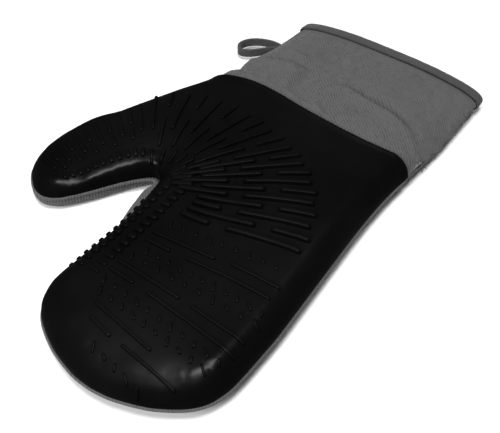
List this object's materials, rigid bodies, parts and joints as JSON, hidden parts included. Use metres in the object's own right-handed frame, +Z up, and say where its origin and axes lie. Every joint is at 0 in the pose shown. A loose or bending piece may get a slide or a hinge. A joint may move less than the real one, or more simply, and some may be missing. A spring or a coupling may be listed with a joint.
{
  "type": "heat resistant cooking mitt",
  "caption": "Heat resistant right-hand mitt with a ribbed silicone palm, fabric back and cuff, bound mouth and a hanging loop.",
  "frame": {"origin": "on the floor under the middle of the palm, on the back panel's flat underside", "axes": "+Z up, from the back of the hand to the palm; +Y from the finger tips to the cuff's mouth; -X towards the thumb"},
  "size_m": [0.2304, 0.3689, 0.0329],
  "materials": {
    "silicone": "satin moulded silicone",
    "twill": "matte cotton twill",
    "binding_tape": "matte twill tape",
    "wadding": "felted fibre",
    "lining": "plain woven cotton",
    "thread": "spun sewing thread"
  },
  "bodies": {
    "palm": {"silicone_palm": "silicone", "palm_wadding_palm": "wadding", "palm_lining_palm": "lining", "back_lining_palm": "lining", "back_wadding_palm": "wadding", "back_panel_palm": "twill", "seam_thread_crotch": "thread", "seam_thread_palm_thumb_side": "thread", "seam_thread_palm_little_side": "thread"},
    "fingers": {"silicone_fingers": "silicone", "palm_wadding_fingers": "wadding", "palm_lining_fingers": "lining", "back_lining_fingers": "lining", "back_wadding_fingers": "wadding", "back_panel_fingers": "twill", "seam_thread_fingers": "thread"},
    "thumb": {"silicone_thumb": "silicone", "palm_wadding_thumb": "wadding", "palm_lining_thumb": "lining", "back_lining_thumb": "lining", "back_wadding_thumb": "wadding", "back_panel_thumb": "twill", "seam_thread_thumb": "thread"},
    "cuff": {"cuff_palm_panel": "twill", "cuff_palm_lining": "lining", "cuff_back_panel": "twill", "cuff_back_lining": "lining", "cuff_binding": "binding_tape", "binding_stitch": "thread", "seam_thread_cuff_thumb_side": "thread", "seam_thread_cuff_little_side": "thread"},
    "loop": {"hanging_loop": "twill"}
  },
  "joints": [
    {"name": "finger_fold", "type": "hinge", "parent": "palm", "child": "fingers", "pos_m": [0, -0.07, 0.034], "axis": [-1, 0, 0], "range_deg": [0, 75]},
    {"name": "thumb_fold", "type": "hinge", "parent": "palm", "child": "thumb", "pos_m": [-0.1, -0.016, 0.034], "axis": [-0.8838, 0.4679, 0], "range_deg": [0, 70]},
    {"name": "wrist_fold", "type": "hinge", "parent": "palm", "child": "cuff", "pos_m": [0, 0.08, 0.031], "axis": [1, 0, 0], "range_deg": [0, 60]},
    {"name": "loop_swing", "type": "hinge", "parent": "cuff", "child": "loop", "pos_m": [-0.086, 0.15125, 0.011], "axis": [0, 1, 0], "range_deg": [0, 80]}
  ]
}
